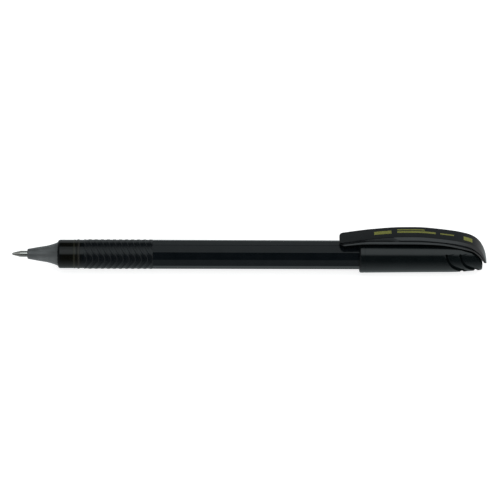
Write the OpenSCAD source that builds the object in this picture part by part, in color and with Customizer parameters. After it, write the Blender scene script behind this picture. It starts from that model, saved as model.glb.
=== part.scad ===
// Capped gel pen with its cap pushed onto the back of the barrel.
// Every sub-part is drawn in the pen frame: X runs along the pen's axis from the front
// of the ball, and Z points up through the clip. on_ground() then lays the pen on the
// ground plane with its middle over the origin. Profiles are [radius, x] or [x, height].

/* [Point] */
// Diameter of the writing ball
ball_d = 0.7; // [0.5:0.1:0.7]
// How far the ball stands out of its socket
ball_proud = 0.2; // [0.15:0.05:0.25]
// Diameter of the metal point's shank
shank_d = 2.16; // [2.1:0.02:2.2]
// Where the cone of the metal point ends
cone_end = 2.9; // [2.7:0.1:3.1]
// Where the metal point ends inside the nose cone
point_end = 9; // [8.8:0.1:9.2]

/* [Nose cone] */
// Where the nose cone starts
nose_start = 5.3; // [5.1:0.1:5.5]
// Diameter of the nose cone's front end
nose_front_d = 3.6; // [3.5:0.1:3.7]
// Diameter of the nose cone where it meets the barrel
nose_back_d = 8.2; // [8:0.1:8.3]
// Diameter of the plug that pushes into the barrel
plug_d = 7.4; // [7.2:0.1:7.5]
// Where the plug ends inside the barrel
plug_end = 24.4; // [24:0.1:24.8]

/* [Barrel] */
// Where the barrel starts
barrel_start = 15.8; // [15.7:0.1:15.9]
// Where the barrel ends
barrel_end = 140.5; // [139:0.5:140.5]
// Diameter of the round collar at the front of the barrel
collar_d = 9.88; // [9.8:0.02:9.94]
// Radius of the collar's front edge
collar_edge_r = 0.9; // [0.7:0.1:0.9]
// Diameter of the barrel across its twelve corners
barrel_corner_d = 10.1; // [10:0.02:10.12]
// Diameter of the barrel's bore
bore_d = 7.7; // [7.7:0.05:7.8]
// Turn of the barrel in the posted cap, in degrees
barrel_turn = 13.3; // [0:0.1:30]

/* [Grip] */
// Where the ribbed grip starts
grip_start = 24.9; // [24.7:0.1:25.1]
// Where the ribbed grip ends
grip_end = 48.6; // [48:0.2:49]
// Diameter of the grip between its ridges
grip_d = 10; // [9.96:0.02:10.02]
// Height of the grip's ridges
ridge_h = 0.1; // [0.06:0.02:0.1]
// Width of a ridge
ridge_w = 0.7; // [0.5:0.1:0.8]
// Distance from one ridge to the next
ridge_pitch = 2.094; // [1.9:0.002:2.3]
// Radius of the bend at a ridge's peak
ridge_bend_r = 2; // [1.6:0.1:2.4]
// Lean of a ridge's two straight arms, in degrees
ridge_lean = 35; // [25:1:40]

/* [Cap] */
// Where the posted cap's lip is
lip_x = 119.6; // [119:0.1:120]
// Diameter of the cap's lip
lip_d = 12.36; // [12.3:0.02:12.4]
// Diameter of the cap's bore
cap_bore_d = 10.6; // [10.5:0.05:10.65]
// Where the cap's flat end is
cap_end = 162; // [161.8:0.1:162]
// Number of ribs in the cap's bore that hold the barrel
cap_ribs = 6; // [3:1:8]
// Where the upper end of the first vent is in the cap's side
vent_start = 149.45; // [149:0.05:150]
// Distance from the first vent to the second
vent_pitch = 4.7; // [4.6:0.1:4.9]
// Width of the vents
vent_w = 0.5; // [0.4:0.05:0.6]

/* [Clip] */
// Where the clip's front end is
clip_front = 112.7; // [112:0.1:113]
// Where the clip's tail ends
clip_tail = 163.6; // [163.4:0.1:163.8]
// Width of the clip's base flange
flange_w = 7.8; // [7.4:0.1:8]
// Thickness of the clip's base flange
flange_t = 0.45; // [0.4:0.05:0.6]
// Width of the clip above its flange
clip_w = 7; // [6.4:0.1:7.2]
// Width of the tenon that holds the clip in the cap
tenon_w = 2.2; // [1.8:0.1:2.4]

/* [Refill] */
// Outer diameter of the ink tube
tube_d = 6; // [5.9:0.05:6]
// Inner diameter of the ink tube
tube_bore_d = 4.6; // [4.5:0.05:4.6]
// Where the ink tube ends
tube_end = 131; // [125:1:131]
// Where the column of ink ends
ink_end = 118; // [60:1:118]
// Length of the grease follower
follower_len = 6; // [4:0.5:6]

/* [Hidden] */
$fn = 64;

// Radial gap between the ball and its socket
ball_gap = 0.02;
// Gap between pieces that are pressed together
seat_gap = 0.01;
// Gap around the clip's tenon in the cap's slot
tenon_gap = 0.12;
// Where the tenon starts along the pen, and how long it is
tenon_start = 153.52;
tenon_len = 3;
// A length that runs past every part, for cutting
past = 20;

ball_r = ball_d / 2;
shank_r = shank_d / 2;
bore_r = bore_d / 2;
collar_r = collar_d / 2;
lip_r = lip_d / 2;
cap_bore_r = cap_bore_d / 2;

// Smooth curve through points, with the given number of steps between two of them
function spline_point(a, b, c, d, t) =
    0.5 * (2 * b + (c - a) * t + (2 * a - 5 * b + 4 * c - d) * t * t
    + (3 * b - a - 3 * c + d) * t * t * t);
function curve(p, steps) = [
    for (i = [0 : len(p) - 2], s = [0 : steps - 1])
        spline_point(p[max(i - 1, 0)], p[i], p[i + 1], p[min(i + 2, len(p) - 1)], s / steps),
    p[len(p) - 1]
];
// Points along a circular arc, and the same list back to front
function arc(centre, r, from, to, steps) = [
    for (i = [0 : steps]) let (a = from + (to - from) * i / steps)
        centre + r * [cos(a), sin(a)]
];
function backwards(p) = [for (i = [len(p) - 1 : -1 : 0]) p[i]];
function lowered(p, drop) = [for (q = p) q - [0, drop]];

// Solid of revolution about the pen's axis
module turned(profile) {
    rotate([0, 90, 0]) rotate_extrude() polygon(profile);
}

// Round rod or hole on the pen's axis
module rod(r, from, to) {
    translate([from, 0, 0]) rotate([0, 90, 0]) cylinder(h = to - from, r = r);
}

// Side view in X and Z, given a width in Y
module side_plate(width) {
    rotate([90, 0, 0]) linear_extrude(width, center = true) children();
}

// Lays the pen on the ground with its middle over the origin
module on_ground() {
    translate([-clip_tail / 2, 0, lip_r]) children();
}

// ---- Refill: point, nose cone, tube and ink ----

module ball() {
    color("silver") on_ground() translate([ball_r, 0, 0]) sphere(r = ball_r);
}

// Clearances inside the metal point
channel_r = 0.2;
chamber_r = 0.62;
chamber_start = 2.1;

module tip_body() {
    socket_r = ball_r + ball_gap;
    outline = [
        [0, ball_proud], [ball_r + 0.05, ball_proud], [shank_r, cone_end],
        [shank_r, point_end], [0, point_end]
    ];
    color("lightgray") on_ground() difference() {
        turned(outline);
        translate([ball_r, 0, 0]) sphere(r = socket_r);
        rod(channel_r, ball_r, chamber_start + seat_gap);
        rod(chamber_r, chamber_start, point_end + 1);
    }
}

// The valve spring: a close helix of fine wire with a straight leg that pushes the ball
wire_r = 0.06;
spring_r = 0.46;
spring_turns = 11;
spring_start = 2.25;
spring_end = 8.7;
spring_steps = 14;
wire_sides = 6;

function spring_ring(i) =
    let (t = i / spring_steps, a = 360 * t, x = spring_start + (spring_end - spring_start) * t / spring_turns)
    [
        for (k = [0 : wire_sides - 1])
            let (b = 360 * k / wire_sides, r = spring_r + wire_r * cos(b))
            [x + wire_r * sin(b), r * cos(a), r * sin(a)]
    ];

module tip_spring() {
    rings = spring_turns * spring_steps;
    points = [for (i = [0 : rings]) each spring_ring(i)];
    sides = [
        for (i = [0 : rings - 1], k = [0 : wire_sides - 1])
            let (n = (k + 1) % wire_sides, a = i * wire_sides, b = a + wire_sides)
            [a + k, a + n, b + n, b + k]
    ];
    first = [for (k = [wire_sides - 1 : -1 : 0]) k];
    last = [for (k = [0 : wire_sides - 1]) rings * wire_sides + k];
    leg_start = ball_d + ball_gap;
    color("gray") on_ground() {
        polyhedron(points = points, faces = concat(sides, [first, last]), convexity = 8);
        rod(wire_r, leg_start, spring_start);
        translate([spring_start - wire_r, 0, -wire_r]) cube([2 * wire_r, spring_r, 2 * wire_r]);
    }
}

// Outline of the nose in front of the barrel, and of its plug inside the barrel
bead_h = 0.08;
tube_pocket = 18.5;
spigot_r = tube_bore_d / 2;
pocket_r = tube_d / 2;
feed_r = 0.8;

module nose_cone() {
    front_r = nose_front_d / 2;
    back_r = nose_back_d / 2;
    plug_r = plug_d / 2;
    flare = curve([
        [front_r, nose_start + 0.3], [1.95, 6.6], [2.4, 9.1], [2.83, 11.8], [3.18, 13.2],
        [3.6, 14.6], [back_r, barrel_start - 0.02]
    ], 3);
    plug = [
        [plug_r, barrel_start - 0.02],
        [plug_r, 21], [plug_r + bead_h, 21.3], [plug_r + bead_h, 21.7], [plug_r, 22],
        [plug_r, 22.6], [plug_r + bead_h, 22.9], [plug_r + bead_h, 23.3], [plug_r, 23.6],
        [plug_r, plug_end - 0.3], [plug_r - 0.3, plug_end], [0, plug_end]
    ];
    color("dimgray", 0.7) on_ground() difference() {
        turned(concat([[0, nose_start], [front_r - 0.25, nose_start]], flare, plug));
        rod(shank_r + seat_gap, nose_start - 1, point_end + seat_gap);
        rod(feed_r, point_end, plug_end + 1);
        difference() {
            rod(pocket_r + seat_gap, tube_pocket, plug_end + 1);
            rod(spigot_r - seat_gap, tube_pocket - 1, plug_end + 2);
        }
    }
}

module ink_tube() {
    color("whitesmoke", 0.5) on_ground() difference() {
        rod(pocket_r, tube_pocket + seat_gap, tube_end);
        rod(spigot_r, tube_pocket - 1, tube_end + 1);
    }
}

module ink() {
    color("black") on_ground() {
        rod(feed_r - seat_gap, point_end + 2 * seat_gap, plug_end + 1);
        rod(spigot_r - seat_gap, plug_end + seat_gap, ink_end);
    }
}

module follower() {
    color("khaki", 0.7) on_ground() {
        rod(spigot_r - seat_gap, ink_end + seat_gap, ink_end + follower_len);
    }
}

// ---- Barrel ----

// One side of a chevron ridge: straight arm, round peak, straight arm
function chevron_side(r) =
    let (arm = 8, along = [-sin(ridge_lean), cos(ridge_lean)])
    concat(
        [r * [cos(ridge_lean), -sin(ridge_lean)] + arm * [along[0], -along[1]]],
        arc([0, 0], r, -ridge_lean, ridge_lean, 6),
        [r * [cos(ridge_lean), sin(ridge_lean)] + arm * along]
    );

module chevron(peak_x) {
    outer = chevron_side(ridge_bend_r + ridge_w / 2);
    inner = chevron_side(ridge_bend_r - ridge_w / 2);
    translate([peak_x - ridge_bend_r, 0]) polygon(concat(outer, backwards(inner)));
}

module grip_ridges() {
    first_peak = 0.6;
    ridges = ceil((grip_end - grip_start + 4) / ridge_pitch);
    intersection() {
        side_plate(past) for (i = [0 : ridges]) chevron(grip_start + first_peak + i * ridge_pitch);
        difference() {
            rod(grip_d / 2 + ridge_h, grip_start, grip_end);
            rod(grip_d / 2 - 0.2, grip_start - 1, grip_end + 1);
        }
    }
}

// The collar carries two low beads that click into the cap when the pen is capped
module barrel() {
    edge = [collar_r - collar_edge_r, barrel_start + collar_edge_r];
    front = concat(
        [[0, barrel_start]],
        [for (p = arc([0, 0], collar_edge_r, -90, 0, 8)) edge + p],
        [
            [collar_r, 21.1], [collar_r + 0.04, 21.35], [collar_r + 0.05, 21.6],
            [collar_r + 0.04, 21.85], [collar_r, 22.1],
            [collar_r, 22.4], [collar_r + 0.15, 22.8], [collar_r + 0.15, 23], [collar_r, 23.4],
            [collar_r, grip_start], [grip_d / 2, grip_start], [grip_d / 2, grip_end], [0, grip_end]
        ]
    );
    color("#26292b") on_ground() rotate([-barrel_turn, 0, 0]) difference() {
        union() {
            turned(front);
            grip_ridges();
            translate([grip_end - 0.5, 0, 0]) rotate([0, 90, 0])
                cylinder(h = barrel_end - grip_end + 0.5, d = barrel_corner_d, $fn = 12);
        }
        rod(bore_r, barrel_start - 1, barrel_end + 1);
    }
}

// Vented plug with a flange that covers the end of the barrel
module end_plug() {
    plug_len = 6.5;
    flange_r = 4.7;
    vent_r = 0.5;
    outline = [
        [0, barrel_end - plug_len], [bore_r - 0.4, barrel_end - plug_len],
        [bore_r - seat_gap, barrel_end - plug_len + 0.4], [bore_r - seat_gap, barrel_end + seat_gap],
        [flange_r, barrel_end + seat_gap], [flange_r, barrel_end + 0.7],
        [flange_r - 0.3, barrel_end + 1], [0, barrel_end + 1]
    ];
    color("#26292b") on_ground() difference() {
        turned(outline);
        rod(vent_r, barrel_end - plug_len - 1, barrel_end + 2);
    }
}

// ---- Cap ----

// Where the liner's rim sits in the cap, and how thick the cap's sloping end is
rim_x = 141.9;
rim_t = 1;
end_wall = 0.9;

// Side view of the seat that the end of the cap is cut to, under the clip
seat_line = [
    [142.8, 6.05], [147.8, 5.72], [151.2, 5.2], [154.7, 4.43], [158.1, 3.58],
    [159.1, 2.92], [160.3, 1.6], [161.6, -0.05], [162.4, -1.3]
];
module above_seat(drop) {
    side_plate(past) polygon(concat(
        lowered(seat_line, drop), [
            [cap_end + past, -past], [cap_end + past, past], [lip_x - past, past],
            [lip_x - past, seat_line[0][1] - drop]
        ]
    ));
}

// Vent: a bowed slit that sweeps back as it goes down both sides of the cap, given where
// its upper end is
module vent(start_x) {
    bow_r = 9;
    upper_end = [start_x, 3.2];
    upper_at = 190;
    lower_at = 249;
    centre = upper_end - bow_r * [cos(upper_at), sin(upper_at)];
    side_plate(past) polygon(concat(
        arc(centre, bow_r + vent_w / 2, upper_at, lower_at, 10),
        arc(centre, bow_r - vent_w / 2, lower_at, upper_at, 10)
    ));
}

// Ribs along the bore that hold the posted barrel
module bore_ribs() {
    rib_w = 0.6;
    rib_start = lip_x + 4;
    rib_r = barrel_corner_d / 2 + 0.06;
    for (i = [0 : cap_ribs - 1]) rotate([i * 360 / cap_ribs, 0, 0])
        translate([rib_start, -rib_w / 2, rib_r])
            cube([rim_x - rib_start - 0.2, rib_w, cap_bore_r - rib_r + 0.2]);
}

module cap_shell() {
    outer = concat(
        [[0, lip_x], [cap_bore_r + 0.15, lip_x]],
        [for (p = arc([0, 0], 0.7, -90, 0, 6)) [lip_r - 0.7, lip_x + 0.7] + p],
        [
            [lip_r - 0.02, 121.35], [lip_r - 0.07, 121.4], [lip_r - 0.07, 121.65],
            [lip_r - 0.03, 121.7], [5.88, 151.2]
        ],
        curve([[5.8, 153.6], [5.55, 157.1], [5.14, 161.2], [4.8, cap_end]], 4),
        [[0, cap_end]]
    );
    chamber = [
        [0, rim_x + rim_t - 0.01], [4.9, rim_x + rim_t - 0.01], [4.9, 152], [4.65, 157],
        [4.3, cap_end - 1.4], [0, cap_end - 1.4]
    ];
    color("#1b1d1f") on_ground() difference() {
        turned(outer);
        rod(cap_bore_r, lip_x - 1, rim_x + rim_t);
        difference() {
            turned(chamber);
            above_seat(end_wall);
        }
        above_seat(0);
        translate([tenon_start - tenon_gap, -tenon_w / 2 - tenon_gap, 2])
            cube([tenon_len + 2 * tenon_gap, tenon_w + 2 * tenon_gap, 4]);
        for (i = [0, 1]) vent(vent_start + i * vent_pitch);
    }
    color("#1b1d1f") on_ground() bore_ribs();
}

// Liner that the nose cone goes into, held by its rim, with notches that let air past
module inner_cap() {
    rim_r = cap_bore_r - seat_gap;
    outside = [
        [rim_r, rim_x], [rim_r, rim_x + rim_t - 2 * seat_gap], [4.7, rim_x + rim_t - 2 * seat_gap],
        [3.72, 145], [3.66, 150], [2.85, 155], [1.75, 158.3], [1.6, 158.9], [0, 158.9]
    ];
    inside = [
        [0, rim_x - 1], [4.4, rim_x - 1], [4.4, rim_x], [4.2, 142.9], [3.3, 144.5], [3.25, 150],
        [2.4, 155], [1.35, 157.6], [1.3, 158.5], [0, 158.5]
    ];
    color("gainsboro") on_ground() difference() {
        turned(concat([[0, rim_x]], outside));
        turned(inside);
        for (a = [45 : 90 : 315]) rotate([a, 0, 0])
            translate([rim_x - 1, -0.6, 4.95]) cube([rim_t + 2, 1.2, 1]);
    }
}

// Rubber pad at the end of the liner
module tip_seal() {
    color("dimgray") on_ground() difference() {
        rod(1.3 - seat_gap, 157.8, 158.5 - seat_gap);
        translate([157.35, 0, 0]) sphere(r = 0.6);
    }
}

// ---- Clip ----

// Top of the clip in side view: a long rise, a flat crest and a tail that wraps down
clip_top = curve([
    [clip_front + 0.8, 7.15], [121.9, 8.53], [130.9, 9.54], [136, 9.76], [141.2, 9.74],
    [146.5, 9.22], [151.6, 8.57], [155, 7.86], [157.8, 6.98], [159.8, 5.68], [161.2, 3.98],
    [162.1, 2.2], [162.9, 0.1], [clip_tail, -2.1]
], 4);
// Underside of the clip, from its front end to its tail
clip_under = [
    [clip_front + 0.4, 6.2], [115, 6.42], [119, 6.88], [122, 7.07], [139, 7.14], [144.3, 6.98],
    [147.8, 6.74], [151.2, 6.08], [154.7, 5.22], [158.1, 4.2], [159.7, 3.1], [160.9, 1.75],
    [162.2, -0.1], [162.8, -1.4]
];

// Foremost point of the clip in side view, between its underside and its top
front_edge = [clip_front, 6.7];
module clip_side() {
    polygon(concat(clip_under, backwards(clip_top), [front_edge]));
}

// The flange is the lowest layer of the clip: it follows the underside all the way
module flange_side() {
    lean_from = 156;
    lean_over = 12;
    upper = [for (p = clip_under) p + flange_t * [max(0, (p[0] - lean_from) / lean_over), 1]];
    intersection() {
        clip_side();
        polygon(concat(clip_under, backwards(upper)));
    }
}

// Plan view of the clip, with its front corners rounded
module clip_plan(width) {
    corner_r = 1.4;
    translate([clip_front + corner_r, -width / 2]) square([past + 40, width]);
    translate([clip_front, corner_r - width / 2]) square([past, width - 2 * corner_r]);
    for (s = [-1, 1]) translate([clip_front + corner_r, s * (width / 2 - corner_r)]) circle(corner_r);
}

module clip() {
    color("#202224") on_ground() {
        intersection() {
            union() {
                side_plate(flange_w) flange_side();
                side_plate(clip_w) clip_side();
            }
            linear_extrude(past, center = true) clip_plan(flange_w);
        }
        translate([tenon_start, -tenon_w / 2, 3.75]) cube([tenon_len, tenon_w, 2.5]);
    }
}

ball();
tip_body();
tip_spring();
nose_cone();
ink_tube();
ink();
follower();
barrel();
end_plug();
cap_shell();
inner_cap();
tip_seal();
clip();
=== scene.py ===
# Looks of the gel pen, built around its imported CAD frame.
# Shapes are drawn in the pen frame, in millimetres: X from the front of the ball along the
# pen's axis, Z up through the clip. build() moves them to the row frame, in metres.
import math

import bmesh
import bpy
import numpy as np
from mathutils import Matrix, Vector


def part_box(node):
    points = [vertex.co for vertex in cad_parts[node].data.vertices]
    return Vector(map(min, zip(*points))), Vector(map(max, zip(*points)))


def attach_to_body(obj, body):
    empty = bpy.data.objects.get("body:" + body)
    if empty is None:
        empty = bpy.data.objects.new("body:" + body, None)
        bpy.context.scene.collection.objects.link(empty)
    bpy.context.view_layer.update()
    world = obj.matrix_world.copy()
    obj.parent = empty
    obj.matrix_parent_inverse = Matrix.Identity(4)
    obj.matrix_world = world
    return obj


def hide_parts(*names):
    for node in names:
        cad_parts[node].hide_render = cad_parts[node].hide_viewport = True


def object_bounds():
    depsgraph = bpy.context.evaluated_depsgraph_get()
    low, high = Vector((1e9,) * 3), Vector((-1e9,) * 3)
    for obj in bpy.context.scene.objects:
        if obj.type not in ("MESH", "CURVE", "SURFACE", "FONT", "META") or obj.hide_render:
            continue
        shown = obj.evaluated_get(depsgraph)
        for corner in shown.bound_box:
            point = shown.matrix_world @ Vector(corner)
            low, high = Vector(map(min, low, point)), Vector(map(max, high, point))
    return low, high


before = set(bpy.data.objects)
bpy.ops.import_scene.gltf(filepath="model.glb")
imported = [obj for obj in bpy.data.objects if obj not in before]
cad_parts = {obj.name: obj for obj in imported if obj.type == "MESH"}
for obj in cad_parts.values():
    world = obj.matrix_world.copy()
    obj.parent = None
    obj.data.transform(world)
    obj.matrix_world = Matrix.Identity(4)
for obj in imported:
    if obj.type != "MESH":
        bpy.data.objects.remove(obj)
cad_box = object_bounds()

MM = 0.001
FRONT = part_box("ball")[0].x
AXIS_Z = sum(corner.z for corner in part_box("ball")) / 2


def span(node):
    """Where a CAD node starts and ends along the pen."""
    low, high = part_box(node)
    return (low.x - FRONT) / MM, (high.x - FRONT) / MM


# ---- Shapes ----

def build(name, verts, faces, sharp=35):
    """Mesh object from points in the pen frame, shaded smooth up to an angle in degrees."""
    mesh = bpy.data.meshes.new(name)
    points = np.asarray(verts, float) * MM + [FRONT, 0, AXIS_Z]
    mesh.from_pydata(points.tolist(), [], faces)
    shell = bmesh.new()
    shell.from_mesh(mesh)
    bmesh.ops.recalc_face_normals(shell, faces=shell.faces)
    shell.to_mesh(mesh)
    shell.free()
    mesh.shade_smooth()
    mesh.set_sharp_from_angle(angle=math.radians(sharp))
    piece = bpy.data.objects.new(name, mesh)
    bpy.context.collection.objects.link(piece)
    return piece


def attach(piece, body, slot, material, *nodes):
    """Gives a piece its material, ties it to its CAD body and hides the CAD nodes it stands
    for.
    """
    piece.data.materials.clear()
    piece.data.materials.append(material)
    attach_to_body(piece, body)
    if nodes:
        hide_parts(*nodes)


def skin(rings, poles=()):
    """Closed surface through rings of points. Without poles the last ring joins the first."""
    rings = np.asarray(rings, float)
    count, around = rings.shape[:2]
    verts = rings.reshape(-1, 3).tolist()
    faces = []
    for i in range(count - (1 if poles else 0)):
        a, b = i * around, ((i + 1) % count) * around
        for j in range(around):
            k = (j + 1) % around
            faces.append((a + j, a + k, b + k, b + j))
    for end, pole in enumerate(poles):
        verts.append(list(pole))
        base = (count - 1) * around * end
        for j in range(around):
            faces.append((base + j, base + (j + 1) % around, len(verts) - 1))
    return verts, faces


def eased(profile, size, steps=4):
    """A profile with each corner rounded off over a length."""
    out = [profile[0]]
    for before, here, after in zip(profile, profile[1:], profile[2:]):
        before, here, after = map(np.array, (before, here, after))
        into, away = before - here, after - here
        a, b = np.linalg.norm(into), np.linalg.norm(away)
        start = here + into / a * min(size, a * 0.45)
        stop = here + away / b * min(size, b * 0.45)
        for i in range(steps + 1):
            t = i / steps
            out.append(tuple((1 - t) ** 2 * start + 2 * t * (1 - t) * here + t * t * stop))
    return out + [profile[-1]]


def ring(x, radius, angles):
    """Points round the pen's axis at one place along it."""
    return np.stack(
        [np.full(angles.shape, x), -radius * np.cos(angles), radius * np.sin(angles)], 1
    )


def around(sides):
    """Equal angles round a full turn."""
    return np.linspace(0, 2 * math.pi, sides, endpoint=False)


def turned(name, profile, ease=0.05, sides=96, sharp=35):
    """Solid of revolution from (x, radius) points that start and end on the axis."""
    profile = eased(profile, ease)
    rings = [ring(x, r, around(sides)) for x, r in profile[1:-1]]
    poles = [(profile[0][0], 0, 0), (profile[-1][0], 0, 0)]
    return build(name, *skin(rings, poles), sharp=sharp)


def hollow(name, profile, ease=0.05, sides=96, sharp=35):
    """Ring of revolution from a closed loop of (x, radius) points off the axis."""
    loop = eased([profile[-1]] + list(profile) + [profile[0]], ease)[1:-1]
    return build(name, *skin([ring(x, r, around(sides)) for x, r in loop]), sharp=sharp)


def curve(points, steps):
    """Catmull-Rom curve through points."""
    p = np.asarray(points, float)
    out = []
    for i in range(len(p) - 1):
        a, b, c, d = p[max(i - 1, 0)], p[i], p[i + 1], p[min(i + 2, len(p) - 1)]
        for s in range(steps):
            t = s / steps
            out.append(0.5 * (
                2 * b + (c - a) * t + (2 * a - 5 * b + 4 * c - d) * t ** 2
                + (3 * b - a - 3 * c + d) * t ** 3
            ))
    return np.array(out + [p[-1]])


def arc(centre, radius, start, stop, steps):
    """Points on an arc between two angles in degrees."""
    a = np.radians(np.linspace(start, stop, steps + 1))
    return [(centre[0] + radius * math.cos(t), centre[1] + radius * math.sin(t)) for t in a]


def ramp(value):
    """Smooth step from 0 to 1."""
    t = np.clip(value, 0, 1)
    return t * t * (3 - 2 * t)


# ---- Materials ----

def node(tree, kind, **sockets):
    """A shader node with its input sockets set."""
    made = tree.nodes.new(kind)
    for key, value in sockets.items():
        made.inputs[key.replace("_", " ")].default_value = value
    return made


def maths(tree, operation, *terms):
    """Math node with sockets or numbers as its terms."""
    made = tree.nodes.new("ShaderNodeMath")
    made.operation = operation
    for i, term in enumerate(terms):
        if isinstance(term, (int, float)):
            made.inputs[i].default_value = term
        else:
            tree.links.new(term, made.inputs[i])
    return made.outputs[0]


def squared(tree, term):
    """Square of a socket, whose sign the Power operation would trip over."""
    return maths(tree, "POWER", maths(tree, "ABSOLUTE", term), 2.0)


def between(tree, value, low, high):
    """1 where a value lies between two limits, and 0 elsewhere."""
    return maths(tree, "MULTIPLY", maths(tree, "GREATER_THAN", value, low),
                 maths(tree, "LESS_THAN", value, high))


def remap(tree, source, start, stop, low=0.0, high=1.0, smooth=False):
    """A value carried from one range to another, and held at its ends."""
    made = node(
        tree, "ShaderNodeMapRange",
        **{"From Min": start, "From Max": stop, "To Min": low, "To Max": high},
    )
    if smooth:
        made.interpolation_type = "SMOOTHSTEP"
    tree.links.new(source, made.inputs["Value"])
    return made.outputs["Result"]


# Places of a Mix node's sockets when it mixes colours
MIX_AMOUNT, MIX_FIRST, MIX_SECOND, MIX_RESULT = 0, 6, 7, 2


def blend(tree, amount, first, second):
    """Mix of two colours. Each is a socket or a (red, green, blue) tone."""
    made = tree.nodes.new("ShaderNodeMix")
    made.data_type = "RGBA"
    tree.links.new(amount, made.inputs[MIX_AMOUNT])
    for at, colour in ((MIX_FIRST, first), (MIX_SECOND, second)):
        if isinstance(colour, tuple):
            made.inputs[at].default_value = (*colour, 1)
        else:
            tree.links.new(colour, made.inputs[at])
    return made.outputs[MIX_RESULT]


def axes(tree, place):
    """The X, Y and Z of a vector socket."""
    split = tree.nodes.new("ShaderNodeSeparateXYZ")
    tree.links.new(place, split.inputs[0])
    return split.outputs


def unpack(material):
    """A finished material's tree, its shader, and the object's X, Y and Z in metres."""
    tree = material.node_tree
    shader = next(n for n in tree.nodes if n.type == "BSDF_PRINCIPLED")
    place = next(n for n in tree.nodes if n.type == "TEX_COORD").outputs["Object"]
    return tree, shader, axes(tree, place)


def noise(tree, where, scale, detail=3.0):
    """Noise in the object's own metres: scale is one over the size of a blotch."""
    made = node(tree, "ShaderNodeTexNoise", Scale=scale, Detail=detail)
    tree.links.new(where, made.inputs["Vector"])
    return made.outputs["Fac"]


def spread(tree, source, low, high):
    """A noise value, which mostly lies between 0.3 and 0.7, carried to a range."""
    return remap(tree, source, 0.3, 0.7, low, high)


def finish(name, dark, light, rough, wave=0.0, grain=0.0, stretch=(1, 1, 1), blotch=260,
           grain_scale=7000, **fixed):
    """Principled material with colour, roughness and surface that vary in the object's space.
    wave and grain are the depths, in millimetres, of the slow and the fine unevenness. blotch
    and grain_scale are one over a size in metres, and rough is the range of roughness."""
    material = bpy.data.materials.new(name)
    material.use_nodes = True
    tree = material.node_tree
    tree.nodes.clear()
    out = tree.nodes.new("ShaderNodeOutputMaterial")
    shader = node(tree, "ShaderNodeBsdfPrincipled", **fixed)
    tree.links.new(shader.outputs["BSDF"], out.inputs["Surface"])
    place = tree.nodes.new("ShaderNodeTexCoord").outputs["Object"]
    mapping = node(tree, "ShaderNodeMapping", Scale=stretch)
    tree.links.new(place, mapping.inputs["Vector"])
    stretched = mapping.outputs["Vector"]
    amount = spread(tree, noise(tree, place, blotch), 0, 1)
    tree.links.new(blend(tree, amount, dark, light), shader.inputs["Base Color"])
    smudges = noise(tree, stretched, blotch * 2.3, 5.0)
    tree.links.new(spread(tree, smudges, *rough), shader.inputs["Roughness"])
    wave_scale = 170
    normal = None
    for depth, scale, where in ((wave, wave_scale, place), (grain, grain_scale, stretched)):
        if depth:
            bump = node(tree, "ShaderNodeBump", Strength=1.0, Distance=depth * MM)
            tree.links.new(noise(tree, where, scale, 2.0), bump.inputs["Height"])
            if normal:
                tree.links.new(normal, bump.inputs["Normal"])
            normal = bump.outputs["Normal"]
    if normal:
        tree.links.new(normal, shader.inputs["Normal"])
    return material


def smoke_barrel():
    """Deep smoke plastic, duller on the grip. The nose cone's plug shows through the collar as
    a slightly warmer band. Its two beads are painted highlights: lighter olive rings that stand
    in for the beads' shine seen through the collar."""
    material = finish(
        "barrel_smoke", (0.0030, 0.0046, 0.0060), (0.0046, 0.0064, 0.0080), (0.09, 0.16),
        wave=0.003, grain=0.0008, IOR=1.41,
    )
    tree, shader, (x, y, z) = unpack(material)
    colour = shader.inputs["Base Color"].links[0].from_socket
    plug_middle, bead_1, bead_2 = 20.1, 21.5, 22.95
    for middle, half, soft, tint_and_highlight in (
        (plug_middle, 3.6, 1.2, (0.0040, 0.0042, 0.0030)),
        # painted highlight: the two bead bands are lighter olive colour standing in for the
        # beads' shine seen through the collar
        (bead_1, 0.30, 0.22, (0.020, 0.0195, 0.0135)),
        (bead_2, 0.22, 0.18, (0.017, 0.0165, 0.0125)),
    ):
        away = maths(tree, "ABSOLUTE", maths(tree, "SUBTRACT", x, FRONT + middle * MM))
        band = remap(tree, away, (half + soft) * MM, (half - soft) * MM, smooth=True)
        colour = blend(tree, band, colour, tint_and_highlight)
    tree.links.new(colour, shader.inputs["Base Color"])
    grip_dullness = 0.14
    on_grip = between(tree, x, *(FRONT + edge * MM for edge in GRIP))
    gloss = shader.inputs["Roughness"].links[0].from_socket
    dulled = maths(tree, "ADD", gloss, maths(tree, "MULTIPLY", on_grip, grip_dullness))
    tree.links.new(dulled, shader.inputs["Roughness"])
    return material


def painted_recess_shade(material):
    """Painted shade: take the shine off whatever lies deep in the cap's vents, where little
    light reaches. The cap's own skin there is level up to the first vent and narrows as a
    parabola past it."""
    tree, shader, (x, y, z) = unpack(material)
    first, last = FRONT + 149.2 * MM, FRONT + 161.3 * MM
    level, taper, deepest = 5.70 * MM, 7.5, 0.12 * MM
    full_shine, lost_shine = 0.5, 0.48
    height = maths(tree, "SUBTRACT", z, AXIS_Z)
    radius = maths(tree, "SQRT", maths(tree, "ADD", squared(tree, y), squared(tree, height)))
    past = maths(tree, "MAXIMUM", maths(tree, "SUBTRACT", x, first), 0.0)
    skin_r = maths(tree, "SUBTRACT", level,
                   maths(tree, "MULTIPLY", squared(tree, past), taper))
    depth = remap(tree, maths(tree, "SUBTRACT", skin_r, radius), 0.0, deepest)
    shade = maths(tree, "MULTIPLY", depth, between(tree, x, first, last))
    shine = maths(tree, "SUBTRACT", full_shine, maths(tree, "MULTIPLY", shade, lost_shine))
    # painted shade: the deeper a point lies in a vent, the less it reflects, so the vents read
    # as shaded
    tree.links.new(shine, shader.inputs["Specular IOR Level"])
    return material


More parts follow.
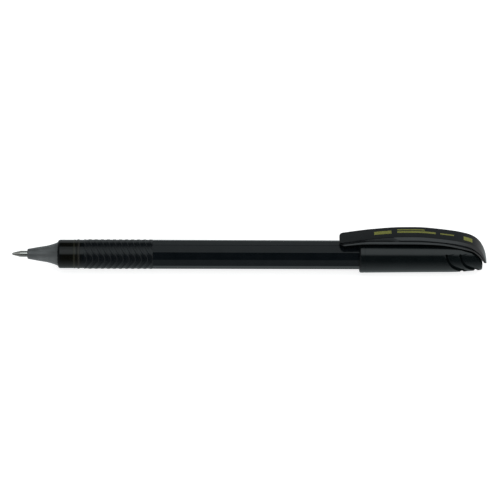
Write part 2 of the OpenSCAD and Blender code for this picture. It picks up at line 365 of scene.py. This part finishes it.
def satin_panel(material):
    """Dull the middle of the clip, where its marks are printed, and leave its edges glossy."""
    tree, shader, (x, y, z) = unpack(material)
    edge_shine, panel_shine = 0.56, 0.13
    shine = remap(tree, maths(tree, "ABSOLUTE", y), (FACE_HALF + 0.03) * MM,
                  (FACE_HALF - 0.12) * MM, edge_shine, panel_shine)
    tree.links.new(shine, shader.inputs["Specular IOR Level"])
    return material


def materials():
    """One material for each slot of the record."""
    turned_marks = (60, 1, 1)
    return {
        "ball_steel": finish(
            "ball_steel", (0.62, 0.63, 0.65), (0.76, 0.77, 0.79), (0.08, 0.16),
            grain=0.0004, blotch=4000, Metallic=1.0),
        "point_metal": finish(
            "point_metal", (0.56, 0.55, 0.52), (0.70, 0.69, 0.65), (0.16, 0.28),
            grain=0.0012, stretch=turned_marks, blotch=900, grain_scale=900, Metallic=1.0),
        "spring_wire": finish(
            "spring_wire", (0.48, 0.49, 0.51), (0.62, 0.63, 0.65), (0.2, 0.3),
            grain=0.0006, blotch=3000, Metallic=1.0),
        "nose_smoke": finish(
            "nose_smoke", (0.118, 0.126, 0.130), (0.158, 0.168, 0.172), (0.12, 0.22),
            wave=0.003, grain=0.001, IOR=1.49, Transmission_Weight=0.35),
        "tube_clear": finish(
            "tube_clear", (0.78, 0.80, 0.80), (0.88, 0.89, 0.89), (0.16, 0.28),
            wave=0.003, grain=0.001, IOR=1.49, Transmission_Weight=0.9),
        "ink": finish(
            "ink", (0.004, 0.004, 0.006), (0.010, 0.010, 0.014), (0.1, 0.3),
            wave=0.01, blotch=500),
        "grease": finish(
            "grease", (0.52, 0.45, 0.20), (0.72, 0.66, 0.38), (0.18, 0.34),
            wave=0.02, blotch=500, Transmission_Weight=0.35),
        "barrel_smoke": smoke_barrel(),
        "plug_black": finish(
            "plug_black", (0.010, 0.011, 0.013), (0.018, 0.020, 0.022), (0.26, 0.42),
            wave=0.004, grain=0.002),
        "cap_black": painted_recess_shade(finish(
            "cap_black", (0.0032, 0.0050, 0.0056), (0.0048, 0.0070, 0.0076), (0.12, 0.19),
            wave=0.003, grain=0.0008, IOR=1.52)),
        "liner": finish(
            "liner", (0.66, 0.66, 0.63), (0.78, 0.78, 0.76), (0.38, 0.55),
            wave=0.006, grain=0.003),
        "seal_rubber": finish(
            "seal_rubber", (0.035, 0.035, 0.036), (0.06, 0.06, 0.062), (0.7, 0.9),
            grain=0.01, grain_scale=4000),
        "clip_black": satin_panel(finish(
            "clip_black", (0.0040, 0.0048, 0.0058), (0.0060, 0.0070, 0.0082), (0.14, 0.22),
            wave=0.003, grain=0.0012, IOR=1.57)),
        "clip_marks": finish(
            "clip_marks", (0.155, 0.16, 0.02), (0.27, 0.28, 0.055), (0.45, 0.65),
            grain=0.004, blotch=2600, grain_scale=9000),
    }


# ---- Refill ----

INK_R = 2.29


def make_ball():
    start, end = span("ball")
    radius = (end - start) / 2
    return turned("writing_ball", [
        (start + radius * (1 - math.cos(t)), radius * math.sin(t))
        for t in np.linspace(0, math.pi, 33)
    ], ease=0.001, sides=64)


def make_tip_body():
    start, end = span("tip_body")
    shank, shoulder = 1.08, 2.9
    socket, socket_floor, mouth, rim = 0.385, 0.76, 0.355, 0.40
    return turned("metal_point", [
        (socket_floor, 0), (socket_floor - 0.02, 0.29), (0.35, socket), (start, mouth),
        (start, rim), (start + 0.12, rim + 0.03), (shoulder, shank), (end - 0.1, shank),
        (end, shank - 0.1), (end, 0),
    ], ease=0.05, sides=128, sharp=25)


def make_nose_cone():
    start, end = span("nose_cone")
    seat = span("barrel")[0] - 0.02
    plug, bead, feed, pocket, spigot, metal = 3.7, 3.78, 0.8, 3.01, 2.29, 1.09
    metal_stop, pocket_floor = 9.01, 18.5
    flare = curve([
        (start + 0.3, 1.8), (6.6, 1.95), (9.1, 2.4), (11.8, 2.83), (13.2, 3.18), (14.6, 3.6),
        (seat, 4.1),
    ], 4)
    loop = [(metal_stop, feed), (metal_stop, metal), (start, metal), (start, 1.55)]
    loop += [tuple(p) for p in flare]
    loop += [
        (seat, plug), (21, plug), (21.3, bead), (21.7, bead), (22, plug), (22.6, plug),
        (22.9, bead), (23.3, bead), (23.6, plug), (end - 0.3, plug), (end, plug - 0.3),
        (end, pocket), (pocket_floor, pocket), (pocket_floor, spigot), (end, spigot),
        (end, feed),
    ]
    return hollow("nose_cone_smoke", loop, ease=0.06, sides=128, sharp=40)


def make_ink_tube():
    start, end = span("ink_tube")
    inner, outer = 2.3, 3
    return hollow(
        "refill_tube", [(start, inner), (start, outer), (end, outer), (end, inner)], ease=0.15)


def make_ink():
    start, end = span("ink")
    neck, feed = 24.41, 0.79
    return turned("ink_column", [
        (start, 0), (start, feed), (neck, feed), (neck, INK_R), (end, INK_R), (end - 0.4, 1.6),
        (end - 0.6, 0),
    ], ease=0.06)


def make_follower():
    start, end = span("follower")
    return turned("grease_follower", [
        (start, 0), (start, INK_R), (end, INK_R), (end - 0.5, 1.5), (end - 0.8, 0)
    ], ease=0.1)


# ---- Barrel ----

COLLAR_R, COLLAR_EDGE = 4.94, 0.9
GRIP_R, RIDGE_H, RIDGE_W, RIDGE_FLANK = 5.0, 0.1, 0.7, 0.16
RIDGE_PITCH, RIDGE_BEND, RIDGE_LEAN = 2.094, 2.0, math.radians(35)
GRIP = (24.9, 48.6)
BARREL_TURN = math.radians(13.3)
BORE_R = 3.85


def sector_angles():
    """Angles round a twelve-sided ring, closer together at its corners."""
    edge = [0, 0.4, 0.8]
    flat = list(np.linspace(0.8, 29.2, 22)[1:-1])
    sector = edge + flat + [29.2, 29.6]
    return np.radians([30 * i + a for i in range(12) for a in sector])


def twelve_sided(angle, corner):
    """Radius of a twelve-sided bar with slightly rounded corners."""
    half, ease = math.radians(15), 0.27
    off = (angle + half) % (2 * half) - half
    flat = corner * math.cos(half) / np.cos(half - np.abs(off))
    centre = corner - ease / math.cos(half)
    touch = math.atan2(ease * math.sin(half), centre + ease * math.cos(half))
    bend = np.sqrt(np.clip(ease ** 2 - (centre * np.sin(off)) ** 2, 0, None))
    return np.where(np.abs(off) < touch, centre * np.cos(off) + bend, flat)


def ridges(x, angle):
    """Height of the chevron ridges. Each is a round peak with two straight arms."""
    z = np.abs(GRIP_R * np.sin(angle))
    turn = RIDGE_BEND * math.sin(RIDGE_LEAN)
    lean = np.where(z < turn, np.arcsin(np.clip(z / RIDGE_BEND, 0, 1)), RIDGE_LEAN)
    back = np.where(
        z < turn,
        RIDGE_BEND - np.sqrt(np.clip(RIDGE_BEND ** 2 - z ** 2, 0, None)),
        RIDGE_BEND * (1 - math.cos(RIDGE_LEAN)) + (z - turn) * math.tan(RIDGE_LEAN),
    )
    first_peak = 0.6
    number = (x + back - GRIP[0] - first_peak) / RIDGE_PITCH
    away = np.abs((number + 0.5) % 1 - 0.5) * RIDGE_PITCH * np.cos(lean)
    height = RIDGE_H * ramp((RIDGE_W / 2 + RIDGE_FLANK / 2 - away) / RIDGE_FLANK)
    fade = 0.08
    inside = ramp((x - GRIP[0]) / fade) * ramp((GRIP[1] - x) / fade)
    return np.where(number > -0.5, height * inside, 0)


def collar_bead(x, middle, height, half):
    """Height of a rounded bead round the collar."""
    return height * ramp((half - abs(x - middle)) / (half * 0.6))


def make_barrel():
    start, end = span("barrel")
    angles = sector_angles()
    radii = [(start, np.full(angles.shape, BORE_R + 0.1))]
    for x, r in arc((start + COLLAR_EDGE, COLLAR_R - COLLAR_EDGE), COLLAR_EDGE, 180, 90, 10):
        radii.append((x, np.full(angles.shape, r)))
    for x in [18, 20] + list(np.arange(21, 23.6, 0.05)) + [24.2, GRIP[0] - 0.03]:
        r = COLLAR_R + collar_bead(x, 21.6, 0.05, 0.45) + collar_bead(x, 22.9, 0.15, 0.5)
        radii.append((x, np.full(angles.shape, r)))
    for x in np.linspace(GRIP[0], GRIP[1], 297):
        radii.append((x, GRIP_R + ridges(x, angles)))
    corner_r, taper = 5.09, 0.07
    for x in [GRIP[1] + 0.04] + list(np.linspace(GRIP[1] + 0.1, end - 0.15, 14)):
        corner = corner_r - taper * (x - GRIP[1]) / (end - GRIP[1])
        radii.append((x, twelve_sided(angles, corner)))
    radii.append((end, radii[-1][1] - 0.15))
    for x, r in ((end, BORE_R + 0.1), (end - 0.1, BORE_R), (start + 0.1, BORE_R)):
        radii.append((x, np.full(angles.shape, r)))
    rings = [ring(x, r, angles + BARREL_TURN) for x, r in radii]
    return build("barrel_body", *skin(rings), sharp=55)


def make_end_plug():
    start, end = span("end_plug")
    rim = span("barrel")[1] + 0.01
    vent, stem, head = 0.5, 3.84, 4.7
    return hollow("barrel_end_plug", [
        (start, vent), (start, stem - 0.39), (start + 0.4, stem), (rim, stem), (rim, head),
        (end - 0.3, head), (end, head - 0.3), (end, vent),
    ], ease=0.12)


# ---- Cap ----

CAP_BORE_R = 5.3
RIM_END = 142.9
SEAT = np.array([
    (142.8, 6.05), (147.8, 5.72), (151.2, 5.2), (154.7, 4.43), (158.1, 3.58), (159.1, 2.92),
    (160.3, 1.6), (161.6, -0.05), (162.4, -1.3),
])
VENT_R, VENT_W, VENT_PITCH = 9.0, 0.5, 4.7
VENT_CENTRE = (158.31, 4.76)
VENT_ENDS = (190, 228)
VENT_TOE, VENT_TAIL = (155.0, -3.5, -5.5), 4.4
TENON = (153.52, 156.52, 1.1)
TENON_GAP = 0.12
ARC_POINTS, CHORD_POINTS = 360, 33


def vent_depth(x, z):
    """Depth of the two gills: a bowed groove that widens downwards into a wedge, a scoop that
    rises behind it, a pit at its upper end and a notch where it meets the underside."""
    wall, floor_w, far_wall = 0.12, 0.34, 0.18
    pit_r, pit_depth, nick_half, nick_depth = 0.36, 0.75, 0.65, 0.5
    start, stop = np.radians(VENT_ENDS)
    out = np.array([math.cos(stop), math.sin(stop)])
    tangent = np.array([-out[1], out[0]])
    bow = VENT_R * (stop - start)
    depth = np.zeros_like(z)
    for i in (0, 1):
        across, up = x - VENT_CENTRE[0] - i * VENT_PITCH, z - VENT_CENTRE[1]
        turn = np.arctan2(up, across) % (2 * math.pi)
        past = across * tangent[0] + up * tangent[1]
        straight = (past > 0) & (turn > math.pi)
        from_centre = np.where(straight, across * out[0] + up * out[1], np.hypot(across, up))
        behind = VENT_R + VENT_W / 2 - from_centre
        along = np.where(straight, bow + past, VENT_R * (turn - start))
        low = np.clip(along / (bow + 2), 0, 1)
        front = ramp(behind / wall)
        width = floor_w + 1.5 * low ** 2
        wedge = (0.66 + 0.22 * low) * np.clip(1 - (behind - wall - width) / far_wall, 0, 1)
        scoop = (0.10 + 0.16 * low) * np.clip(1 - behind / (3.2 - low), 0, 1)
        inside = ramp(along / 0.25) * ramp((bow + VENT_TAIL - along) / 0.3)
        groove = front * inside * np.maximum(wedge, scoop)
        upper = VENT_R * np.array([math.cos(start), math.sin(start)])
        from_pit = np.hypot(across - upper[0] - 0.1, up - upper[1] + 0.2)
        pit = pit_depth * ramp(1.5 - from_pit / pit_r)
        toe_x, toe_top, toe_end = VENT_TOE
        nick = np.clip(1 - np.abs(x - toe_x - i * VENT_PITCH) / nick_half, 0, 1)
        nick = nick_depth * nick * ramp((toe_top - z) / 0.5) * ramp((z - toe_end) / 0.3)
        depth = np.maximum.reduce([depth, groove, pit, nick])
    return depth


def cap_ring(x, radius, drop=0.0, ribs=False, vents=False, slot=False):
    """Ring of the cap: an arc round its lower side, and a chord along the seat on top."""
    above_all = 99.0
    on_seat = x >= SEAT[0][0]
    seat = float(np.interp(x, SEAT[:, 0], SEAT[:, 1])) - drop if on_seat else above_all
    corner = max(math.acos(max(-1, min(1, seat / radius))), math.radians(6))
    a = np.linspace(corner, 2 * math.pi - corner, ARC_POINTS)
    r = np.full(a.shape, radius)
    if vents:
        r = r - vent_depth(x, r * np.cos(a))
    if ribs:
        rib_half, rib_r = 0.3, 5.11
        off = np.abs((a + math.pi / 6) % (math.pi / 3) - math.pi / 6) * radius
        r = r - (radius - rib_r) * ramp((rib_half + 0.06 - off) / 0.12)
    y, z = -r * np.sin(a), np.minimum(r * np.cos(a), seat)
    half = radius * math.sin(corner)
    t = np.linspace(1, -1, CHORD_POINTS + 2)[1:-1]
    if half > 3:
        # two points of the chord stand just inside and outside each wall of the tenon's slot
        wall = TENON[2] + TENON_GAP
        flat = np.interp(np.abs(t), [0, 0.375, 0.4375, 1], [0, wall - 0.02, wall + 0.02, half])
        chord = np.sign(t) * flat
    else:
        chord = t * half
    top = np.minimum(np.sqrt(radius ** 2 - np.minimum(chord ** 2, radius ** 2)), seat)
    if corner > math.pi / 2:
        top = np.full(t.shape, seat)
    if slot:
        slot_floor = 3.5
        top = np.where(np.abs(chord) < TENON[2] + TENON_GAP, np.minimum(top, slot_floor), top)
    return np.stack([
        np.full(ARC_POINTS + CHORD_POINTS, x), np.append(y, chord), np.append(z, top)
    ], 1)


def make_cap():
    start, end = span("cap_shell")
    lip_r = (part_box("cap_shell")[1].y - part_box("cap_shell")[0].y) / 2 / MM
    lip_edge = 0.7
    outside = [(start, CAP_BORE_R + 0.12)]
    outside += arc((start + lip_edge, lip_r - lip_edge), lip_edge, 180, 90, 8)
    # a fine groove runs round the cap behind its lip
    outside += [
        (121.3, lip_r - 0.015), (121.38, lip_r - 0.02), (121.42, lip_r - 0.075),
        (121.62, lip_r - 0.075), (121.66, lip_r - 0.025), (121.75, lip_r - 0.02),
    ]
    shell = np.array(
        [(121.7, lip_r - 0.03), (151.2, 5.88)]
        + [tuple(p) for p in curve([(153.6, 5.8), (157.1, 5.55), (161.2, 5.14), (end, 4.8)], 8)]
    )
    slot = (TENON[0] - TENON_GAP, TENON[1] + TENON_GAP)
    xs = np.concatenate([
        np.arange(123, 144, 3), np.arange(144, 149, 0.5), np.arange(149, end - 0.1, 0.075),
        [slot[0] - 0.02, slot[0] + 0.02, slot[1] - 0.02, slot[1] + 0.02, end - 0.12],
    ])
    rings = []
    chamber_wall, chamber_end = 1.4, end - 1.4
    chamber = np.array([(RIM_END, 4.9), (152, 4.9), (157, 4.65), (chamber_end, 4.3)])
    for x in np.linspace(chamber_end, RIM_END + 0.02, 30):
        rings.append(cap_ring(x, float(np.interp(x, *chamber.T)), chamber_wall))
    rings.append(cap_ring(RIM_END, CAP_BORE_R))
    rib_start, rib_end = start + 4, RIM_END - 1.2
    for x, ribs in ((rib_end + 0.05, False), (rib_end, True), (rib_start + 0.4, True),
                    (rib_start, False), (start + 0.12, False)):
        rings.append(cap_ring(x, CAP_BORE_R, ribs=ribs))
    for x, r in outside:
        rings.append(cap_ring(x, r))
    for x in sorted(xs):
        radius = float(np.interp(x, shell[:, 0], shell[:, 1]))
        rings.append(cap_ring(x, radius, vents=True, slot=slot[0] < x < slot[1]))
    rings.append(cap_ring(end, 4.68))
    below_axis = (0, -2.6)
    poles = [(chamber_end, *below_axis), (end, *below_axis)]
    return build("cap_outer", *skin(rings, poles), sharp=32)


# ---- Clip ----

FLANGE_HALF, FACE_HALF, FLANGE_T, LEDGE_LEAN = 3.89, 3.1, 0.66, 0.745
CLIP_CORNER, TAIL_CORNER, CROWN = 1.4, 1.6, 0.04
BEVEL, BEVEL_START, BEVEL_RUN = 0.78, 17.5, 3.5


def clip_lines():
    """The clip's underside and top in side view, as matching points from front to tail."""
    start, end = span("clip")
    top = [(start, 6.68), (start + 0.12, 6.86), (start + 0.4, 7.03)]
    top += [tuple(p) for p in curve([
        (start + 0.8, 7.12), (121.9, 8.52), (130.9, 9.48), (136, 9.66), (141.2, 9.58),
        (146.5, 9.02), (151.6, 8.28), (155, 7.55), (157.8, 6.65), (159.8, 5.42), (161.2, 3.92),
        (162.15, 2.3), (162.95, 0.3), (end - 0.02, -2.05),
    ], 10)]
    under = curve([
        (start + 0.4, 6.22), (115, 6.43), (119, 6.89), (122, 7.08), (130, 7.13), (139, 7.14),
        (144.3, 6.98), (147.8, 6.7), (151.2, 6.08), (154.7, 5.22), (158.1, 4.2), (159.7, 3.1),
        (160.9, 1.77), (162.2, -0.08), (162.82, -1.38),
    ], 8)
    places = np.concatenate([
        1 - np.cos(np.linspace(0, math.pi / 2, 12)), np.linspace(1, 49, 150)[1:],
        49 + 1.5 * np.sin(np.linspace(0, math.pi / 2, 9))[1:],
    ]) / 50.5
    lines = []
    for line in (np.array(under), np.array(top)):
        run = np.append(0, np.cumsum(np.linalg.norm(np.diff(line, axis=0), axis=1)))
        at = places * run[-1]
        lines.append(np.stack([np.interp(at, run, line[:, k]) for k in (0, 1)], 1))
    return lines


def clip_section(height, plan, bevel):
    """Half of a cross-section as (half width, height) from the underside to the top: a thin
    ledge, a wall that leans out with the bevel, the bevel and the flat printed face."""
    thin = min(1, height / 1.6)
    ledge, wide, face = FLANGE_T * thin, FLANGE_HALF - plan, FACE_HALF - plan
    crown, lip, rim = CROWN * thin, 0.14 * thin, 0.06 * thin
    slope = min(bevel, (height - ledge) * 0.55)
    foot, waist = face + slope * 0.4, face + slope
    shoulder = height - crown - slope * 1.12
    brim = max(wide - LEDGE_LEAN * (ledge - rim), foot + 0.03)
    return [
        (0, 0), (wide * 0.5, 0), (wide - rim, 0), (wide - rim * 0.3, rim * 0.3), (wide, rim),
        (wide - (wide - brim) * 0.5, (ledge + rim) / 2), (brim + 0.01, ledge - 0.01),
        (brim - 0.01, ledge), (foot + 0.02, ledge), (foot, ledge + 0.02),
        (foot + 0.01, ledge + 0.1 * thin),
        (waist - 0.02, shoulder - 0.05 * thin), (waist, shoulder),
        (waist - 0.06 * slope, shoulder + 0.08 * slope + 0.005),
        (face + 0.10 * slope + 0.01, height - crown - 0.12 * slope - lip * 0.55),
        (face, height - crown - lip * 0.25), (face - lip * 0.5, height - crown),
        (face - lip * 1.5, height - crown * 0.94), (face * 0.75, height - crown * 0.56),
        (face * 0.5, height - crown * 0.25), (face * 0.25, height - crown * 0.06), (0, height),
    ]


def rounded_end(distance, radius):
    """How far a side comes in at a rounded corner, at a distance from the end."""
    left = radius - min(max(distance, 0), radius)
    return radius - math.sqrt(radius ** 2 - left ** 2)


def make_clip():
    under, top = clip_lines()
    middle = (under + top) / 2
    run = np.append(0, np.cumsum(np.linalg.norm(np.diff(middle, axis=0), axis=1)))
    rings = []
    for low, high, at in zip(under, top, run):
        height = float(np.linalg.norm(high - low))
        up = (high - low) / height
        plan = rounded_end(at, CLIP_CORNER) + rounded_end(run[-1] - at, TAIL_CORNER)
        bevel = 0.04 + BEVEL * float(ramp((at - BEVEL_START) / BEVEL_RUN))
        half = clip_section(height, plan, bevel)
        ring = []
        for side, points in ((1, half), (-1, half[-2:0:-1])):
            for y, h in points:
                ring.append((low[0] + up[0] * h, -side * y, low[1] + up[1] * h))
        rings.append(ring)
    poles = [tuple(np.mean(rings[0], 0)), tuple(np.mean(rings[-1], 0))]
    body = build("pocket_clip", *skin(rings, poles), sharp=38)
    return with_tenon(body)


def with_tenon(body):
    """Joins the tenon under the clip to its body."""
    t0, t1, half = TENON
    low, high = 3.78, 6.2
    verts = [(x, y, z) for x in (t0, t1) for y in (-half, half) for z in (low, high)]
    faces = [(0, 1, 3, 2), (4, 6, 7, 5), (0, 4, 5, 1), (2, 3, 7, 6), (0, 2, 6, 4), (1, 5, 7, 3)]
    tenon = build("tenon_tool", verts, faces)
    joined = body.modifiers.new("tenon", "BOOLEAN")
    joined.operation, joined.object, joined.solver = "UNION", tenon, "EXACT"
    depsgraph = bpy.context.evaluated_depsgraph_get()
    mesh = bpy.data.meshes.new_from_object(body.evaluated_get(depsgraph))
    body.modifiers.clear()
    body.data = mesh
    bpy.data.objects.remove(tenon)
    return body


# Plain printed bars: distance along the clip from its front, length, middle in Y, width
BARS = [(12.2, 6.0, 0.2, 1.8), (20.2, 13.2, 0.0, 1.0), (20.2, 9.4, 1.35, 0.6),
        (35.0, 4.8, 0.0, 0.7), (43.2, 3.2, -0.5, 2.2)]


def make_marks():
    """Plain bars of ink on the clip's top, following its curve."""
    under, top = clip_lines()
    run = np.append(0, np.cumsum(np.linalg.norm(np.diff(top, axis=0), axis=1)))
    verts, faces = [], []
    across, lengthwise = 8, 24
    sunk, ink_t = -0.02, 0.012
    crown_half = FACE_HALF - 0.2
    for at, length, middle, width in BARS:
        base = len(verts)
        for lift in (sunk, ink_t):
            for i in range(lengthwise + 1):
                s = at + length * i / lengthwise
                point = [np.interp(s, run, top[:, k]) for k in (0, 1)]
                low = [np.interp(s, run, under[:, k]) for k in (0, 1)]
                up = np.array(point) - low
                up = up / np.linalg.norm(up)
                for j in range(across + 1):
                    y = middle + width * (j / across - 0.5)
                    drop = CROWN * (y / crown_half) ** 2
                    verts.append((
                        point[0] + up[0] * (lift - drop), y, point[1] + up[1] * (lift - drop)
                    ))
        row, layer = across + 1, (across + 1) * (lengthwise + 1)
        for i in range(lengthwise):
            for j in range(across):
                a = base + i * row + j
                faces.append((a, a + 1, a + 1 + row, a + row))
                b = a + layer
                faces.append((b, b + row, b + 1 + row, b + 1))
        rim = [base + j for j in range(row)]
        rim += [base + i * row + across for i in range(1, lengthwise + 1)]
        rim += [base + lengthwise * row + j for j in range(across - 1, -1, -1)]
        rim += [base + i * row for i in range(lengthwise - 1, 0, -1)]
        for a, b in zip(rim, rim[1:] + rim[:1]):
            faces.append((a, b, b + layer, a + layer))
    return build("clip_printed_bars", verts, faces)


# ---- Assembly ----

def dress():
    """Makes every piece and gives the remaining CAD nodes their materials."""
    look = materials()
    for make, body, slot, *nodes in (
        (make_ball, "ball", "ball_steel", "ball"),
        (make_tip_body, "refill", "point_metal", "tip_body"),
        (make_nose_cone, "refill", "nose_smoke", "nose_cone"),
        (make_ink_tube, "refill", "tube_clear", "ink_tube"),
        (make_ink, "refill", "ink", "ink"),
        (make_follower, "refill", "grease", "follower"),
        (make_barrel, "barrel", "barrel_smoke", "barrel"),
        (make_end_plug, "barrel", "plug_black", "end_plug"),
        (make_cap, "cap", "cap_black", "cap_shell"),
        (make_clip, "clip", "clip_black", "clip"),
        (make_marks, "clip", "clip_marks"),
    ):
        attach(make(), body, slot, look[slot], *nodes)
    for name, slot in (
        ("tip_spring", "spring_wire"), ("inner_cap", "liner"), ("tip_seal", "seal_rubber")
    ):
        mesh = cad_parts[name].data
        mesh.materials.clear()
        mesh.materials.append(look[slot])


# ---- Stage ----

def make_floor():
    """A pale floor that gives off part of its own light. Reflections don't show it."""
    size = 3.0
    mesh = bpy.data.meshes.new("floor")
    corners = [(-size, -size, 0), (size, -size, 0), (size, size, 0), (-size, size, 0)]
    mesh.from_pydata(corners, [], [(0, 1, 2, 3)])
    floor = bpy.data.objects.new("floor", mesh)
    bpy.context.collection.objects.link(floor)
    mesh.materials.append(finish(
        "floor_paper", (0.52, 0.52, 0.52), (0.54, 0.54, 0.54), (0.8, 0.95), blotch=20,
        Emission_Color=(1, 1, 1, 1), Emission_Strength=0.86))
    floor.visible_glossy = False


# Brightness of the studio round the pen's axis, as (angle, strength): 0 degrees looks level
# out of the front, 90 straight up and -90 straight down
STUDIO = [
    (-180, 0.34), (-133, 0.45), (-95, 0.47), (-60, 0.42), (-38, 0.24), (-17, 0.07), (-8, 0.012),
    (28, 0.012), (40, 0.9), (66, 1.0), (74, 0.7), (82, 0.66), (92, 0.6), (99, 0.02),
    (135, 0.02), (142, 0.5), (160, 0.5), (180, 0.34),
]
STUDIO_TINT = (0.89, 0.985, 1.0)


def studio_cards(tree, angle):
    """Colour of the studio at an angle round the pen, in radians."""
    cards = tree.nodes.new("ShaderNodeValToRGB")
    stops = cards.color_ramp.elements
    stops.remove(stops[-1])
    for i, (degrees, strength) in enumerate(STUDIO):
        at = (degrees + 180) / 360
        stop = stops[0] if i == 0 else stops.new(at)
        stop.position = at
        stop.color = (*(strength * part for part in STUDIO_TINT), 1)
    tree.links.new(remap(tree, angle, -math.pi, math.pi), cards.inputs["Fac"])
    return cards.outputs["Color"]


def light_studio():
    """A soft box over the front, a dimmer one behind and black cards between. Beyond the pen's
    ends the studio is dark on the ball's side and bright on the cap's. A soft sun is added."""
    world = bpy.data.worlds.new("studio")
    bpy.context.scene.world = world
    world.use_nodes = True
    tree = world.node_tree
    tree.nodes.clear()
    out = tree.nodes.new("ShaderNodeOutputWorld")
    glow = tree.nodes.new("ShaderNodeBackground")
    place = tree.nodes.new("ShaderNodeTexCoord")
    x, y, z = axes(tree, place.outputs["Generated"])
    cards = studio_cards(tree, maths(tree, "ARCTAN2", z, maths(tree, "MULTIPLY", y, -1)))
    ball_side, cap_side = 0.05, 0.72
    ends = remap(tree, x, -1.0, 1.0, ball_side, cap_side)
    aside = maths(tree, "ABSOLUTE", x)
    reach = remap(tree, aside, 0.24, 0.66, smooth=True)
    tree.links.new(blend(tree, reach, cards, ends), glow.inputs["Color"])
    tree.links.new(glow.outputs["Background"], out.inputs["Surface"])
    lamp = bpy.data.lights.new("overhead", "SUN")
    lamp.energy, lamp.angle = 0.7, math.radians(90)
    sun = bpy.data.objects.new("overhead", lamp)
    sun.visible_glossy = False
    bpy.context.collection.objects.link(sun)


def place_camera():
    """Long lens at the photograph's angle: level with the pen's length, 35 degrees above."""
    elevation, roll = math.radians(35), math.radians(0.17)
    lens, sensor, width = 300.0, 36.0, 172.35
    low, high = cad_box
    side, lift = 0.2, 1.55
    up = Vector((0, math.sin(elevation), math.cos(elevation)))
    target = Vector(((low.x + high.x) / 2 + side * MM, 0, AXIS_Z)) + up * lift * MM
    back = Vector((0, -math.cos(elevation), math.sin(elevation)))
    data = bpy.data.cameras.new("camera")
    data.lens, data.sensor_width = lens, sensor
    data.clip_start, data.clip_end = 0.05, 20
    camera = bpy.data.objects.new("camera", data)
    bpy.context.collection.objects.link(camera)
    look = (-back).to_track_quat("-Z", "Y").to_matrix() @ Matrix.Rotation(roll, 3, "Z")
    camera.matrix_world = Matrix.Translation(
        target + back * width * MM * lens / sensor
    ) @ look.to_4x4()
    bpy.context.scene.camera = camera


bpy.context.scene.view_settings.view_transform = "Standard"
place_camera()
dress()
make_floor()
light_studio()
